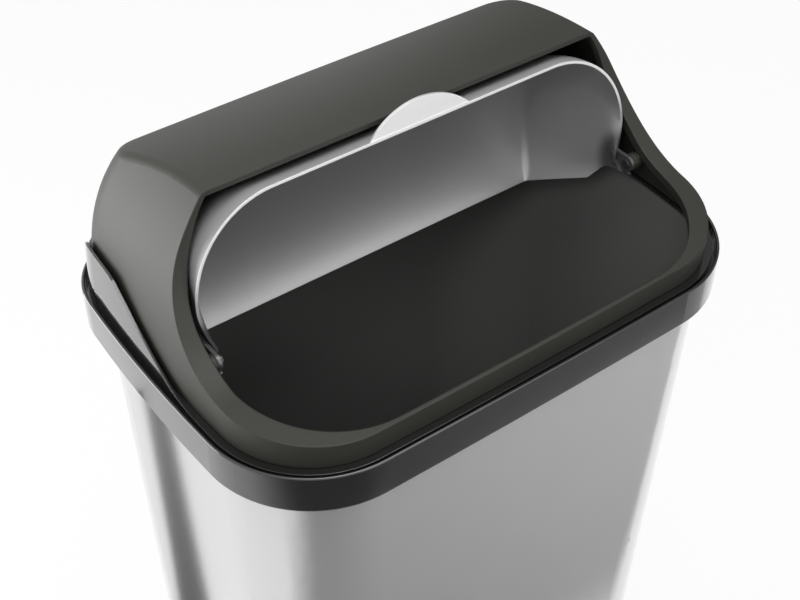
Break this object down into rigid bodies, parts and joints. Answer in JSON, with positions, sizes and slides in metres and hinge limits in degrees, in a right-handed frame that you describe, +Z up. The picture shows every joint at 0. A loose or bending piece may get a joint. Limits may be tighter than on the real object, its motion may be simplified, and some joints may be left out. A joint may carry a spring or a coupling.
{
  "type": "roll-top trash can",
  "caption": "Tall oblong trash can: tapered bucket, collar with a guard wall, hinged hood with a wide mouth and a round-cornered roll cover that turns inside it.",
  "frame": {"origin": "middle of the base, on the floor", "axes": "+X to the right along the long side, -Y to the front where the mouth is, +Z up"},
  "size_m": [0.405, 0.2844, 0.6984],
  "materials": {
    "silver_plastic": "satin silver metallic moulding",
    "black_gloss_plastic": "glossy black moulding",
    "dark_matte_plastic": "matte dark olive grey moulding",
    "silver_grey_plastic": "satin silver grey moulding",
    "black_pin_plastic": "satin black moulded pin"
  },
  "bodies": {
    "bin": {"bin_body": "silver_plastic"},
    "collar_frame": {"collar": "black_gloss_plastic", "hinge_pin_right": "black_pin_plastic", "hinge_pin_left": "black_pin_plastic"},
    "hood_shell": {"hood": "dark_matte_plastic", "cover_pin_right": "black_pin_plastic", "cover_pin_left": "black_pin_plastic"},
    "cover": {"roll_cover": "silver_grey_plastic"}
  },
  "joints": [
    {"name": "collar_lift", "type": "slide", "parent": "bin", "child": "collar_frame", "axis": [0, 0, 1], "range_m": [0, 0.06]},
    {"name": "hood_hinge", "type": "hinge", "parent": "collar_frame", "child": "hood_shell", "pos_m": [0, 0.136, 0.6152], "axis": [-1, 0, 0], "range_deg": [0, 100]},
    {"name": "cover_roll", "type": "hinge", "parent": "hood_shell", "child": "cover", "pos_m": [0, -0.0321, 0.591], "axis": [1, 0, 0], "range_deg": [0, 106.5]}
  ]
}
